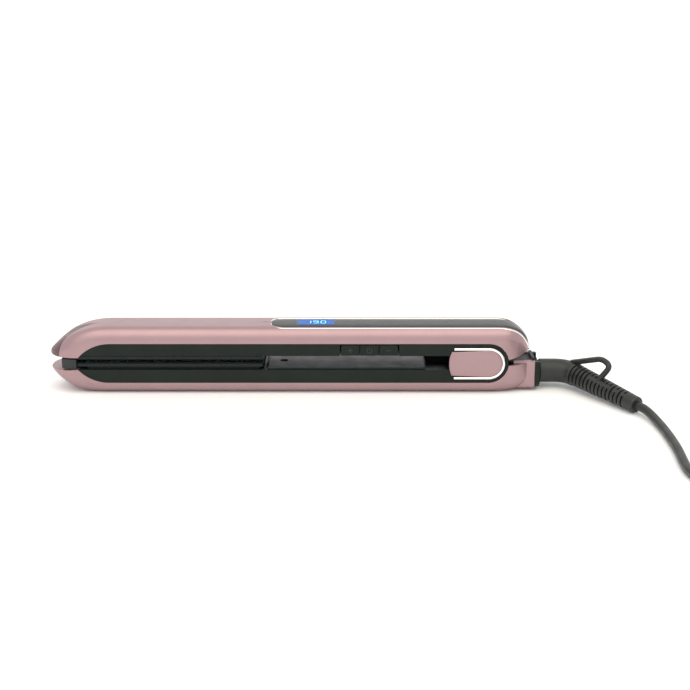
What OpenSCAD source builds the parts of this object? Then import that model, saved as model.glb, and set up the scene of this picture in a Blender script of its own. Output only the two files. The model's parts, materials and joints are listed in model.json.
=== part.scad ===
// Flat iron: two hinged arms with floating heated plates, closed and lying on a table.
// X runs along the arms from nose to cord, Y across them, Z up from the table.

/* [Arms] */
// Length of the two arms, nose tip to cord collar
body_l = 292; // [284:1:300]
// Width of the arms
body_w = 31; // [30.5:0.1:31.5]
// Height of the closed arms
body_h = 40; // [40:0.1:41]
// Height of the hinge axis above the table
hinge_z = 18.9; // [18.8:0.1:19]
// Distance of the hinge axis from the collar end
hinge_back = 31.4; // [31:0.1:32]

/* [Plates] */
// Length of each heated plate
plate_l = 110; // [106:1:111]
// Width of each heated plate
plate_w = 25; // [24:0.5:25]
// Thickness of each heated plate
plate_t = 2.6; // [2.2:0.1:2.8]
// Gap between the closed plates
plate_gap = 1.2; // [1:0.1:1.6]

/* [Controls] */
// Length of one side button
button_l = 11.3; // [10.5:0.1:11.5]
// Height of the side buttons
button_h = 6.4; // [5.8:0.1:6.5]

/* [Cord] */
// Diameter of the cord
cord_d = 5; // [5:0.1:5.2]
// Angle of the boot from the swivel axis
boot_turn = 57; // [55:1:58]
// Length of the ribbed boot
boot_l = 59; // [58:1:60]
// Number of ribs on the boot
boot_ribs = 13; // [10:1:14]

/* [Hidden] */
$fn = 48;
nose_x = -body_l/2;
end_x = body_l/2;
half_w = body_w/2;
hinge_x = end_x - hinge_back;
window_r = 12.05;
win_top = hinge_z + window_r;
win_low = hinge_z - window_r;
win_tip_x = nose_x + 18.3;
tail_x = end_x - 28;
up_edge = 22.2;
low_edge = 14.9;
wall_y = 12.8;
strip_y = half_w - 0.2;
cheek_y = 12.6;
plate_x0 = nose_x + 17.2;
plate_x1 = plate_x0 + plate_l;
part_z = 19.15;
low_plate_z = part_z - plate_gap/2 - plate_t;
up_plate_z = part_z + plate_gap/2;
cover_x0 = plate_x1 + 2.4;
cover_x1 = hinge_x - 36;
strip_up_z = 23.5;
buttons_x = 26.8;
pin_r = 2;
swivel_z = 9.6;
boot_drop = 5.1;
elbow_x = end_x + 17.5;
loop_r = 1.7;
coil_c = [245, -145];
coil_base = 0.9;
// Points that the cord passes through between the boot and the coil
cord_path = [
    [195.7, -49.4, 5.2], [198.8, -54.2, 4.7], [201.2, -61, 3.7], [202.8, -70, 2.9], [203.7, -80, 2.6],
    [204, -91, 2.6], [204, -103, 2.6], [203.4, -115, 2.6], [202.5, -126, 2.6], [202.4, -136, 2.6],
    [204.2, -146, 2.7], [207, -152.5, 3], [209.2, -156.3, 3.2]
];
// Points that the cord passes through between the coil and the plug
tail_path = [
    [275.6, -134, 15.4], [277.4, -124, 11.6], [278.3, -114, 8.4], [278, -105, 7.2], [277, -97, 6.9],
    [276.4, -90, 6.85], [276, -84, 6.85]
];

// ---- outline formulas ----

function arc(cx, cz, r, a0, a1, n) = [for (i = [0:n]) let(a = a0 + (a1 - a0)*i/n) [cx + r*cos(a), cz + r*sin(a)]];
function round_in(u, p) = sqrt(max(0, 1 - pow(min(1, max(0, u)), p)));
function nose_half(x) = half_w*round_in((nose_x + 16.5 - x)/16.8, 2);
function top_nose(x) = body_h - 15.8*pow(max(0, nose_x + 38 - x)/38, 2.5);
function top_tail(x) = body_h - 16*(1 - round_in((x - tail_x)/22.3, 3));
function low_nose(x) = 12.9*pow(max(0, nose_x + 28 - x)/28, 2.1);
function low_tail(x) = 1.2*pow(max(0, x - tail_x - 2.3)/12, 2);
function up_half(x) = x < 0 ? nose_half(x) : half_w*round_in((x - tail_x - 2)/20.6, 2.2);
function low_half(x) = x < 0 ? nose_half(x) : half_w*round_in((x - tail_x)/26.5, 2.4);
function up_top(x) = x < 0 ? top_nose(x) : top_tail(x);
function low_bottom(x) = x < 0 ? low_nose(x) : low_tail(x);
function up_rim(x) = x < 0 ? up_edge
    : let(d = max(0, x - tail_x - 6.5)) min(24.6, 20.4 + 0.16*d + 0.011*pow(d, 2));
function low_rim(x) = x < 0 ? low_edge - sin(90*max(0, nose_x + 18.3 - x)/18.3) : 17.2 + max(0, x - tail_x - 14.3)*0.1;
// One cross-section: up one side from the rim, round the corners and down the other side
function section(x, hw, rim, crown, n) =
    let(h = crown - rim, s = sign(h), ry = min(7.5, 0.75*hw), rz = min(7.5, 0.85*abs(h)))
    concat([[x, hw, rim]],
        [for (i = [0:n]) let(a = 90*i/n) [x, hw - ry + ry*cos(a), crown - s*rz + s*rz*sin(a)]],
        [for (i = [n:-1:0]) let(a = 90*i/n) [x, ry - hw - ry*cos(a), crown - s*rz + s*rz*sin(a)]],
        [[x, -hw, rim]]);
nose_stations = [for (u = [0:13]) nose_x + 38*(1 - cos(90*u/13))];
up_stations = concat(nose_stations, [for (u = [0:10]) tail_x + 22*sin(90*u/10)]);
low_stations = concat(nose_stations, [for (u = [0:10]) tail_x + 24*sin(90*u/10)]);

// ---- general shapes ----

module loft(rings) {
    n = len(rings[0]);
    m = len(rings);
    sides = [for (k = [0:m - 2]) for (i = [0:n - 1])
        [k*n + i, k*n + (i + 1) % n, (k + 1)*n + (i + 1) % n, (k + 1)*n + i]];
    first = [for (i = [n - 1:-1:0]) i];
    last = [for (i = [0:n - 1]) (m - 1)*n + i];
    polyhedron([for (r = rings) each r], concat(sides, [first, last]), convexity = 6);
}

// Points swept round a path, with a ring at each point
function unit(v) = v/norm(v);
function heading(p, k) = unit(p[min(k + 1, len(p) - 1)] - p[max(k - 1, 0)]);
function ring(c, t, r, n) =
    let(a = unit(cross(t, [0, 0, 1])), b = cross(a, t))
    [for (i = [0:n - 1]) c + r*(cos(360*i/n)*a + sin(360*i/n)*b)];
module tube(p, r, n) {
    loft([for (k = [0:len(p) - 1]) ring(p[k], heading(p, k), r, n)]);
}

module block(x0, x1, y0, y1, z0, z1) {
    translate([x0, y0, z0]) cube([x1 - x0, y1 - y0, z1 - z0]);
}

// A block that is mirrored to both sides
module pair(x0, x1, y0, y1, z0, z1) {
    block(x0, x1, y0, y1, z0, z1);
    block(x0, x1, -y1, -y0, z0, z1);
}

// A side view outline in X and Z, made solid between two Y values
module side_solid(y0, y1) {
    translate([0, y1, 0]) rotate([90, 0, 0]) linear_extrude(y1 - y0) children();
}

// A cross-section in Y and Z, made solid between two X values
module long_solid(x0, x1) {
    translate([x0, 0, 0]) rotate([90, 0, 90]) linear_extrude(x1 - x0) children();
}

module across(x, z, r, y0, y1) {
    translate([x, y1, z]) rotate([90, 0, 0]) cylinder(r = r, h = y1 - y0);
}

module rod(p, q, r) {
    v = q - p;
    translate(p) rotate([0, acos(v.z/norm(v)), atan2(v.y, v.x)]) cylinder(r = r, h = norm(v));
}

// ---- arms ----

module upper_window(gap) {
    r = window_r - gap;
    polygon(concat(
        [[win_tip_x + gap, 0], [win_tip_x + gap, up_edge]],
        arc(nose_x + 37.5, win_top - 25.3, 25.3 - gap, 139, 90, 8),
        arc(hinge_x, hinge_z, r, 90, 0, 10),
        [[hinge_x + r, 0]]));
}

module lower_window(gap) {
    r = window_r - gap;
    polygon(concat(
        [[win_tip_x + gap, body_h], [win_tip_x + gap, low_edge]],
        arc(nose_x + 36, win_low + 24, 24 - gap, 222, 270, 8),
        arc(hinge_x, hinge_z, r, -90, 0, 10),
        [[hinge_x + r, body_h]]));
}

module upper_shell() {
    color([0.75, 0.58, 0.6]) difference() {
        loft(backwards([for (x = up_stations) section(x, up_half(x), up_rim(x), up_top(x), 7)]));
        side_solid(-20, 20) upper_window(0);
        long_solid(nose_x + 34, cover_x0 - 2) hollow(20, 37.6);
        long_solid(cover_x0 - 2.5, hinge_x + 8) hollow(20, 36);
        block(nose_x + 16.9, nose_x + 34.5, -13.1, 13.1, 20, 31);
        block(nose_x + 8, nose_x + 20.5, -7, 7, 21.6, 25);
        block(hinge_x + 7.5, tail_x + 14.3, -9, 9, 18, 31);
        crown_layer(-1.85, 3, 11, 15);
    }
}

// Inside of an arm between its open side and its wall, with bevelled corners
module hollow(open_z, wall_z) {
    bevel_z = wall_z - 5*sign(wall_z - open_z);
    polygon([[-13.4, open_z], [13.4, open_z], [13.4, bevel_z], [8.4, wall_z], [-8.4, wall_z], [-13.4, bevel_z]]);
}

// Side view line along the crown and down over the tail, at an offset from the surface
function crown_line(off, low_z) = concat([[cover_x0 - 5, body_h + off]],
    [for (i = [0:12]) let(u = sin(7.5*i)) [tail_x + (22.3 + off)*u, 24 + (16 + off)*round_in(u, 3)]],
    [[tail_x + 22.3 + off, low_z]]);
function backwards(p) = [for (i = [len(p) - 1:-1:0]) p[i]];
function plan_edge(u, hw) = [tail_x + 6.3 + 17.5*sin(90*u), hw*max(0.36, cos(90*u))];

// The panel's outline from above, with a round front end
module panel_plan(hw) {
    polygon(concat(
        [for (i = [0:16]) let(a = 90 + 180*i/16, c = cos(a), s = sin(a))
            [cover_x0 + 12 - hw*pow(abs(c), 0.7), hw*sign(s)*pow(abs(s), 0.7)]],
        [for (i = [0:8]) plan_edge(i/8, -hw)],
        [for (i = [8:-1:0]) plan_edge(i/8, hw)]));
}

// Layer between two offsets from the crown line, inside the panel's outline
module crown_layer(off_in, off_out, hw, low_z) {
    intersection() {
        side_solid(-hw - 1, hw + 1) polygon(concat(crown_line(off_out, low_z), backwards(crown_line(off_in, low_z))));
        linear_extrude(70) panel_plan(hw);
    }
}

module lower_shell() {
    color([0.75, 0.58, 0.6]) difference() {
        union() {
            loft([for (x = low_stations) section(x, low_half(x), low_rim(x), low_bottom(x), 7)]);
            collar(end_x - 16, end_x - 3, 0);
        }
        side_solid(-20, 20) lower_window(0);
        long_solid(nose_x + 34, hinge_x + 10) hollow(30, 2.2);
        block(nose_x + 16.9, nose_x + 34.5, -13.1, 13.1, 6.9, 25);
        block(tail_x + 7.8, end_x - 4.2, -9, 9, 7.5, 25);
        block(end_x - 17, end_x - 4.2, -8, 8, 3, 25);
        block(end_x - 4.5, end_x, -7.4, 7.4, 15.9, 25);
        translate([end_x - 5, 0, swivel_z]) rotate([0, 90, 0]) cylinder(r = 6, h = 6);
    }
}

// Box with bevelled edges round the swivel, standing on the body's end
module collar(x0, x1, inset) {
    w = 11 - inset;
    top = 18.7 - inset;
    low = 1.5 + inset;
    long_solid(x0, x1) polygon([[-w, low + 2.5], [-w + 2.5, low], [w - 2.5, low], [w, low + 2.5], [w, top], [-w, top]]);
}

module upper_housing() {
    color([0.15, 0.17, 0.16]) difference() {
        union() {
            intersection() {
                pair(win_tip_x, hinge_x + 12, wall_y, strip_y, strip_up_z, win_top);
                side_solid(-20, 20) upper_window(0.15);
            }
            pair(win_tip_x + 17, hinge_x - 6, 11.6, 12.8, win_top - 0.6, win_top + 0.5);
            block(plate_x0 + 1, plate_x1 + 1, -12.9, 12.9, 29.4, 30.6);
            block(plate_x1 + 0.6, plate_x1 + 2, -13, 13, 23.5, 30.8);
            block(cover_x1 + 4, cover_x1 + 6, -13, 13, 25.8, 31);
            block(hinge_x - 6, hinge_x + 7, -10, 10, 30, 34);
            pair(hinge_x - 5, hinge_x + 5, 7.5, 12, hinge_z, 31);
            across(hinge_x, hinge_z, 7, 7.5, 12);
            across(hinge_x, hinge_z, 7, -12, -7.5);
        }
        across(hinge_x, hinge_z, window_r - 0.05, wall_y - 0.3, 20);
        across(hinge_x, hinge_z, window_r - 0.05, -20, 0.3 - wall_y);
        across(hinge_x, hinge_z, pin_r + 0.05, -20, 20);
        block(buttons_x, buttons_x + 3*button_l + 1, -20, -wall_y + 0.1, 20, 30.2);
        for (x = [cover_x0 + 8, cover_x1 - 8]) translate([x, 0, 20]) cylinder(r = 1.2, h = 4);
    }
}

module lower_housing() {
    color([0.15, 0.17, 0.16]) difference() {
        union() {
            intersection() {
                pair(win_tip_x, hinge_x, wall_y, strip_y, win_low, low_edge);
                side_solid(-20, 20) lower_window(0.15);
            }
            pair(win_tip_x + 17, hinge_x - 16, 11.6, 13.2, win_low, win_low + 3);
            block(win_tip_x + 19, plate_x1 + 1, -12.9, 12.9, 7.5, 8.7);
            block(plate_x1 + 0.6, plate_x1 + 2, -13, 13, 7.4, low_edge);
            block(cover_x1 + 0.2, hinge_x - 12, -wall_y - 0.1, wall_y + 0.1, 8.6, 10.2);
            for (s = [-1, 1]) across(hinge_x, hinge_z, window_r - 0.35, s > 0 ? cheek_y : -strip_y + 0.3,
                s > 0 ? strip_y - 0.3 : -cheek_y);
            pair(hinge_x - 20, hinge_x, cheek_y, strip_y - 0.3, win_low + 0.2, 17);
        }
        across(hinge_x, hinge_z, pin_r + 0.02, -20, 20);
    }
}

module lower_nose_block() {
    color([0.2, 0.22, 0.22]) intersection() {
        block(nose_x + 8, plate_x0 - 0.3, -14, 14, low_edge, 20.8);
        linear_extrude(30) polygon(concat(
            [for (x = [nose_x + 6.4:1:win_tip_x + 1]) [x, 1.4 - nose_half(x)]],
            [for (x = [win_tip_x + 1:-1:nose_x + 6.4]) [x, nose_half(x) - 1.4]]));
    }
}

module lower_handle_cover() {
    color([0.27, 0.3, 0.3]) difference() {
        union() {
            side_solid(0.05 - wall_y, wall_y - 0.05) polygon([[cover_x0, 13.4], [cover_x0, 14.9],
                [cover_x0 + 1, 15.9], [cover_x1 - 1.5, 15.9], [cover_x1, 13.4]]);
            translate([cover_x0 + 9.6, 0, 11]) cylinder(r = 3.6, h = 3);
        }
        translate([cover_x0 + 9.6, 0, 13]) cylinder(r = 2.4, h = 4);
        translate([cover_x0 + 9.6, 0, 10]) cylinder(r = 1.25, h = 4);
    }
}

module screw(z, s, r) {
    translate([0, 0, z]) mirror([0, 0, s < 0 ? 1 : 0]) difference() {
        union() {
            cylinder(r = r*1.75, h = 1.4);
            translate([0, 0, -5]) cylinder(r = r, h = 5.1);
        }
        for (a = [0, 90]) rotate(a) translate([-1.3, -0.25, 0.7]) cube([2.6, 0.5, 1]);
    }
}

module lower_cover_screw() {
    color([0.5, 0.5, 0.52]) translate([cover_x0 + 9.6, 0, 0]) screw(13, 1, 1.2);
}

module upper_handle_cover() {
    color([0.2, 0.22, 0.22]) difference() {
        block(cover_x0, cover_x1, 0.05 - wall_y, wall_y - 0.05, strip_up_z, strip_up_z + 2);
        for (x = [cover_x0 + 10, cover_x1 - 10]) translate([x, 0, 20]) {
            cylinder(r = 1.25, h = 10);
            cylinder(r = 2.3, h = strip_up_z + 1.4 - 20);
        }
    }
}

module upper_cover_screws() {
    color([0.5, 0.5, 0.52]) for (x = [cover_x0 + 10, cover_x1 - 10])
        translate([x, 0, 0]) screw(strip_up_z + 1.4, -1, 1.2);
}

// ---- hinge ----

module hinge_pin() {
    color([0.7, 0.7, 0.72]) across(hinge_x, hinge_z, pin_r, 0.3 - strip_y, strip_y - 0.3);
}

module hinge_washers() {
    color([0.75, 0.75, 0.77]) for (s = [-1, 1]) difference() {
        across(hinge_x, hinge_z, 5, s > 0 ? 12.1 : -12.5, s > 0 ? 12.5 : -12.1);
        across(hinge_x, hinge_z, pin_r + 0.05, -13, 13);
    }
}

module hinge_spring() {
    turns = 5;
    coils = [for (i = [0:turns*12]) let(a = 30*i) [hinge_x + 4*cos(a), -6 + 12*i/(turns*12), hinge_z + 4*sin(a)]];
    color([0.6, 0.6, 0.62]) loft([for (k = [0:len(coils) - 1])
        let(t = heading(coils, k), a = unit(cross(t, [0, 1, 0])), b = cross(a, t))
        [for (j = [0:7]) coils[k] + 0.7*(cos(45*j)*a + sin(45*j)*b)]]);
}

// Side view outline of a hinge cover: round at the hinge, bulging at the front
module cover_outline(r) {
    polygon(concat(
        arc(hinge_x, hinge_z, r, 90, -90, 20),
        [for (i = [0:8]) let(z = -r + 2*r*i/8) [hinge_x - 8.2 - sqrt(18.2*18.2 - z*z) + 3, hinge_z + z]]));
}

module hinge_cover(s) {
    color([0.72, 0.58, 0.62]) {
        side_solid(s > 0 ? strip_y : -strip_y - 1.5, s > 0 ? strip_y + 1.5 : -strip_y) cover_outline(8.1);
    }
}

module hinge_trim(s) {
    color([0.9, 0.9, 0.9])
        side_solid(s > 0 ? strip_y : -strip_y - 1.3, s > 0 ? strip_y + 1.3 : -strip_y) difference() {
            cover_outline(9.7);
            cover_outline(8.15);
            translate([hinge_x - 30, hinge_z - 8.1]) square([20, 16.2]);
        }
}

// ---- heated plates ----

module plate(z, up) {
    e = 0.8;
    w = plate_w/2;
    z1 = z + plate_t;
    color([0.12, 0.12, 0.13]) long_solid(plate_x0, plate_x1) polygon(up > 0
        ? [[-w, z], [w, z], [w, z1 - e], [w - e, z1], [e - w, z1], [-w, z1 - e]]
        : [[-w, z1], [w, z1], [w, z + e], [w - e, z], [e - w, z], [-w, z + e]]);
}

module heater(z) {
    color([0.85, 0.83, 0.78]) block(plate_x0 + 15, plate_x1 - 15, -5, 5, z, z + 1.4);
}

// Holder behind a plate, hollow where the heater lies
module carrier(z0, z1, pocket) {
    color([0.3, 0.28, 0.25]) difference() {
        block(plate_x0 + 6, plate_x1 - 2, -11, 11, z0, z1);
        block(plate_x0 + 14, plate_x1 - 14, -6, 6, pocket, pocket + 1.6);
    }
}

module thermistor(z) {
    color([0.9, 0.55, 0.2]) translate([plate_x1 - 30, 5.5, z]) cylinder(r = 0.5, h = 1.4);
}

// Two bowed strips that press a plate carrier outwards
module leaf_springs(z_wall, z_top) {
    h = z_top - z_wall;
    color([0.7, 0.7, 0.72]) for (x = [plate_x0 + 22, plate_x1 - 22])
        side_solid(-4, 4) polygon([[x - 9, z_wall], [x - 6, z_wall], [x, z_wall + 0.9*h], [x + 6, z_wall],
            [x + 9, z_wall], [x, z_top]]);
}

// ---- electrics ----

module power_board() {
    color([0.2, 0.45, 0.25]) {
        block(cover_x0 + 16, cover_x1 - 6, -10.5, 10.5, 5, 6.6);
        block(cover_x0 + 22, cover_x0 + 34, -7, 3, 6.6, 12.5);
        translate([cover_x0 + 44, 0, 6.6]) cylinder(r = 3.2, h = 6);
        block(cover_x0 + 54, cover_x0 + 62, -8, 4, 6.6, 11);
    }
}

module control_board() {
    color([0.2, 0.45, 0.25]) {
        block(cover_x0 + 6, cover_x1 - 4, -11, 11, 31.3, 32.8);
        block(cover_x0 + 62, cover_x0 + 71, -4, 5, 32.8, 34.2);
    }
}

module tact_switches() {
    color([0.3, 0.3, 0.32]) for (i = [0:2]) let(x = buttons_x + 0.5 + (i + 0.5)*button_l) {
        block(x - 3, x + 3, -10.5, -6.5, 26.5, 31.3);
        across(x, 27.2, 0.7, -11, -10.5);
    }
}

module display_module() {
    color([0.15, 0.45, 0.8]) block(1, 24, -6, 6, 32.8, 35.9);
}

module top_panel() {
    color([0.08, 0.09, 0.09]) crown_layer(-1.7, -0.15, 9.9, 22.4);
}

module panel_trim() {
    color([0.92, 0.92, 0.9]) difference() {
        crown_layer(-1.7, 0, 10.9, 22.4);
        linear_extrude(70) panel_plan(10);
    }
}

// ---- controls ----

module button(i) {
    x = buttons_x + 0.5 + i*button_l;
    color([0.17, 0.19, 0.18]) {
        block(x + 0.15, x + button_l - 0.15, -strip_y, -13.45, strip_up_z + 0.2, strip_up_z + button_h);
        across(x + button_l/2, 27.2, 1.5, -13.5, -11.65);
    }
}

module lock_slider() {
    color([0.3, 0.33, 0.32]) {
        block(end_x - 18, end_x - 3.4, -7, 7, 16.1, 17.6);
        side_solid(-7, 7) polygon([[end_x - 4.9, 17.5], [end_x - 4.8, 20.1], [end_x - 3.2, 20.1],
            [end_x - 2.2, 17.5]]);
    }
}

// ---- swivel and cord ----

module cord_bushing() {
    color([0.13, 0.13, 0.13]) difference() {
        union() {
            difference() {
                collar(end_x - 2.9, end_x, 0.6);
                block(end_x - 3.5, end_x + 1, -7.4, 7.4, 15.8, 25);
            }
            translate([end_x - 4, 0, swivel_z]) rotate([0, 90, 0]) cylinder(r = 5.95, h = 3);
        }
        translate([end_x - 5, 0, swivel_z]) rotate([0, 90, 0]) cylinder(r = 4.05, h = 6);
    }
}

// Places its children with +Z along the boot and the origin at the elbow
module at_boot() {
    translate([elbow_x, 0, swivel_z]) rotate([boot_drop, 0, 0]) rotate([0, 0, -boot_turn])
        rotate([0, 90, 0]) children();
}

module along_x(x0, x1, r) {
    translate([x0, 0, swivel_z]) rotate([0, 90, 0]) cylinder(r = r, h = x1 - x0);
}

module cord_boot() {
    color([0.13, 0.14, 0.13]) {
        along_x(end_x - 6.6, end_x - 4.4, 5.6);
        along_x(end_x - 13, end_x + 0.6, 4);
        difference() {
            union() {
                along_x(end_x + 0.4, elbow_x, 7.1);
                translate([elbow_x, 0, swivel_z]) sphere(r = 7.3);
                at_boot() cylinder(r1 = 7.1, r2 = 4.7, h = boot_l);
            }
            for (i = [0:boot_ribs - 1]) at_boot() translate([0, 0, 12 + 3.4*i]) rib_slot(i);
        }
    }
}

// Groove round the boot, left whole at two bridges that swap sides from slot to slot
module rib_slot(i) {
    rotate(90*(i % 2)) difference() {
        cylinder(r = 9, h = 1.3);
        translate([0, 0, -1]) cylinder(r = 4 - 0.06*i, h = 4);
        translate([-1.6, -10, -1]) cube([3.2, 20, 4]);
    }
}

module slip_rings() {
    color([0.85, 0.7, 0.35]) for (x = [end_x - 12.4, end_x - 9.4]) difference() {
        along_x(x, x + 1.6, 4.7);
        along_x(x - 1, x + 3, 4);
    }
}

module swivel_contacts() {
    color([0.85, 0.7, 0.35]) for (x = [end_x - 12.3, end_x - 9.3]) {
        block(x, x + 1.4, -2.5, 2.5, swivel_z - 5.2, swivel_z - 4.8);
        block(x, x + 1.4, -2.5, -2, 3, swivel_z - 5.1);
    }
}

loop_points = [[elbow_x + 2.5, -3, 15.5], [elbow_x + 16.5, -22, 24], [elbow_x + 20, -30, 22],
    [elbow_x + 14.8, -25.5, 12.5]];
module hanging_loop() {
    color([0.13, 0.14, 0.13]) {
        for (i = [0:2]) rod(loop_points[i], loop_points[i + 1], loop_r);
        for (i = [1:2]) translate(loop_points[i]) sphere(r = loop_r + 0.1);
    }
}

module cord_run() {
    color([0.13, 0.14, 0.13]) tube(cord_path, cord_d/2, 10);
}

module cord_tail() {
    color([0.13, 0.14, 0.13]) tube(tail_path, cord_d/2, 10);
}

module cord_coil() {
    color([0.13, 0.14, 0.13]) translate([coil_c.x, coil_c.y, coil_base]) rotate_extrude($fn = 72)
        polygon([[17.5, 0], [37.5, 0], [37.5, 5], [30.2, 18.2], [24.8, 18.2], [17.5, 5]]);
}

module cord_tie() {
    color([0.16, 0.16, 0.17]) translate([coil_c.x, coil_c.y, coil_base]) rotate(-60)
        side_solid(-5, 5) difference() {
            translate([-1, 0]) polygon([[-37.5, -0.8], [-15.5, -0.8], [-15.5, 5.2], [-23.2, 19.1], [-29.8, 19.1], [-37.5, 5.2]]);
            polygon([[-37.6, -0.05], [-17.4, -0.05], [-17.4, 5], [-24.8, 18.3], [-30.2, 18.3], [-37.6, 5]]);
        }
}

module plug_body() {
    x = tail_path[6].x;
    y = tail_path[6].y;
    color([0.13, 0.14, 0.13]) {
        translate([x, y, 6.85]) rotate([-90, 0, 0]) cylinder(r1 = 3.6, r2 = 5.2, h = 14);
        translate([x, y + 14, 0]) linear_extrude(13.7) polygon([[-9, 0], [9, 0], [17.6, 16], [17.6, 24],
            [13, 34], [-13, 34], [-17.6, 24], [-17.6, 16]]);
    }
}

module plug_pins() {
    color([0.8, 0.78, 0.7]) for (s = [-1, 1]) translate([tail_path[6].x + s*9.3, tail_path[6].y + 48, 6.85])
        rotate([-90, 0, 0]) {
            cylinder(r = 2, h = 18);
            translate([0, 0, 18]) cylinder(r1 = 2, r2 = 1.2, h = 1);
        }
}

lower_shell();
lower_housing();
lower_nose_block();
lower_handle_cover();
lower_cover_screw();
hinge_pin();
hinge_washers();
hinge_spring();
hinge_cover(-1);  // hinge_cover_near
hinge_cover(1);  // hinge_cover_far
hinge_trim(-1);  // hinge_trim_near
hinge_trim(1);  // hinge_trim_far
cord_bushing();
power_board();
swivel_contacts();
plate(low_plate_z, 1);  // lower_plate
heater(low_plate_z - 1.5);  // lower_heater
carrier(11.9, low_plate_z, low_plate_z - 1.6);  // lower_plate_carrier
thermistor(low_plate_z - 1.5);  // lower_thermistor
leaf_springs(8.75, 11.85);  // lower_plate_springs
upper_shell();
upper_housing();
upper_handle_cover();
upper_cover_screws();
top_panel();
panel_trim();
display_module();
control_board();
tact_switches();
plate(up_plate_z, -1);  // upper_plate
heater(up_plate_z + plate_t + 0.1);  // upper_heater
carrier(up_plate_z + plate_t, 26.4, up_plate_z + plate_t);  // upper_plate_carrier
thermistor(up_plate_z + plate_t + 0.1);  // upper_thermistor
leaf_springs(29.35, 26.45);  // upper_plate_springs
button(1);  // power_button
button(0);  // plus_button
button(2);  // minus_button
lock_slider();
cord_boot();
slip_rings();
hanging_loop();
cord_run();
cord_coil();
cord_tail();
cord_tie();
plug_body();
plug_pins();
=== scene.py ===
"""Looks for the flat iron: skins, trims, controls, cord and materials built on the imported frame."""

import json
import math

import bmesh
import bpy
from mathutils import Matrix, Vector


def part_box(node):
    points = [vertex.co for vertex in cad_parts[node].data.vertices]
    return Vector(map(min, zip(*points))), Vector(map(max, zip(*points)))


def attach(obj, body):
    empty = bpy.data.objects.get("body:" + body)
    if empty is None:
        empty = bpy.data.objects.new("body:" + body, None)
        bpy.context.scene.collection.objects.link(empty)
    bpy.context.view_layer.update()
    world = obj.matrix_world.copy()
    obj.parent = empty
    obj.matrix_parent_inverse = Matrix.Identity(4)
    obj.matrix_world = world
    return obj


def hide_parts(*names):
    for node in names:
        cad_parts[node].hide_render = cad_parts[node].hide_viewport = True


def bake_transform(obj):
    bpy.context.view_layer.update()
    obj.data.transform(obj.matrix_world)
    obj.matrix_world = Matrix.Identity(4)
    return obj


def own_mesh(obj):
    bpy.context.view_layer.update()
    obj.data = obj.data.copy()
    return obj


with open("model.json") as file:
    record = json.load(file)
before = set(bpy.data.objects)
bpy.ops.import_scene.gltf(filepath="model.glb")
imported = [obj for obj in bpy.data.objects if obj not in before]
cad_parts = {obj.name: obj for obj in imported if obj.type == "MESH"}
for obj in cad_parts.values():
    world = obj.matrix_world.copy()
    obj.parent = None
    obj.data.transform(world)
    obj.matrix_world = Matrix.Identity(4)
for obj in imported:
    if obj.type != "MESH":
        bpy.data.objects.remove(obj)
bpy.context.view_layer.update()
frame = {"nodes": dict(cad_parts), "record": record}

# ---- sizes in millimetres: read from the frame, or the same numbers that the CAD uses ----

MM = 0.001
NODES = frame["nodes"]
SLOT_OF = {part["node"]: part["material_slot"] for part in frame["record"]["subparts"]}


def cad(node):
    """Lowest and highest corner of a CAD node in millimetres."""
    low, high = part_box(node)
    return low / MM, high / MM


NOSE_X = cad("upper_shell")[0].x
HALF_W = cad("upper_shell")[1].y
BODY_H = cad("panel_trim")[1].z
END_X = cad("cord_bushing")[1].x
PIN_LOW, PIN_HIGH = cad("hinge_pin")
HINGE_X = (PIN_LOW.x + PIN_HIGH.x) / 2
HINGE_Z = (PIN_LOW.z + PIN_HIGH.z) / 2
COVER_X0 = cad("lower_handle_cover")[0].x
SWIVEL_Z = (cad("slip_rings")[0].z + cad("slip_rings")[1].z) / 2
# The long window in the side: its half-height, its pointed front and the arcs that lead into it
WINDOW_R = 12.05
WIN_TOP = HINGE_Z + WINDOW_R
WIN_LOW = HINGE_Z - WINDOW_R
WIN_TIP_X = NOSE_X + 18.3
UP_ARC_X, UP_ARC_R = NOSE_X + 37.5, 25.3
LOW_ARC_X, LOW_ARC_R = NOSE_X + 36, 24
# The skins: rims at the nose, wall thickness and rounding of the long edges
UP_EDGE = 22.2
LOW_EDGE = 14.9
SKIN = 1.8
CORNER = 7.5
CORNER_STEPS = 10
STRIP_Y = HALF_W - 0.2
COVER_R = 8.1
# The rounded tail starts to fall at TAIL_X; from TAIL_SOLID behind that, the upper arm is solid
TAIL_X = END_X - 28
TAIL_RX, TAIL_RZ, TAIL_Z = 22.3, 16, 24
TAIL_REACH = 22.27
TAIL_SOLID = 14.3
# The panel on top
PANEL_HALF = 10.0
PANEL_FRONT_POWER = 2.86
PANEL_FRONT_X = COVER_X0 + 12
PANEL_SINK = 1.2
PANEL_NARROWS = 6.3
# The swivel's elbow, the boot and the cord
ELBOW_X = END_X + 17.5
BOOT_L = 59
BOOT_DIR = Vector((0.5446, -0.8354, -0.0746)).normalized()
ELBOW = Vector((ELBOW_X, 0, SWIVEL_Z))
CORD_R = 2.5
COIL = Vector((245, -145, 0))
COIL_BASE = 0.9

# ---- shape tools ----


def smooth(t):
    """Eases from 0 to 1 while t goes from 0 to 1."""
    t = min(1.0, max(0.0, t))
    return t * t * (3 - 2 * t)


def quarter_turn(steps):
    """Angles from zero to a right angle in equal steps."""
    return [i / steps * math.pi / 2 for i in range(steps + 1)]


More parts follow.
